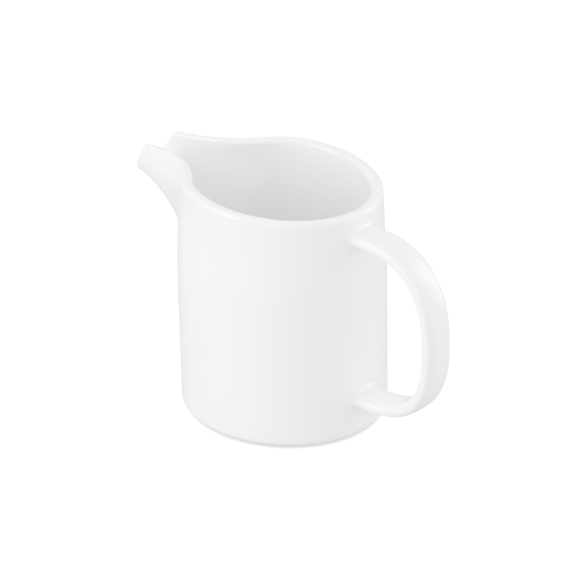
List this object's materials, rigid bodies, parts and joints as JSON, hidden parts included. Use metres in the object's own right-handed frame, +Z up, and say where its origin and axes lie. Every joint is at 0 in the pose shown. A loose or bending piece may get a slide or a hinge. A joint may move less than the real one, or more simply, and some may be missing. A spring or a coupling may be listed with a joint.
{
  "type": "cream jug",
  "caption": "Small glazed porcelain cream jug with an oval upright body, a pulled channel spout and a flat strap handle.",
  "frame": {"origin": "on the body's upright axis, in the plane that the foot ring stands on", "axes": "+Z up, +X towards the handle, -X towards the spout; the XZ plane is the plane of symmetry"},
  "size_m": [0.1312, 0.066, 0.0838],
  "materials": {
    "glaze": "clear gloss glaze over white porcelain",
    "bare_foot": "unglazed, ground smooth"
  },
  "bodies": {
    "root": {"vessel_body": "glaze", "foot_ring": "bare_foot", "pouring_spout": "glaze", "strap_handle": "glaze", "upper_handle_slip": "glaze", "lower_handle_slip": "glaze"}
  },
  "joints": []
}
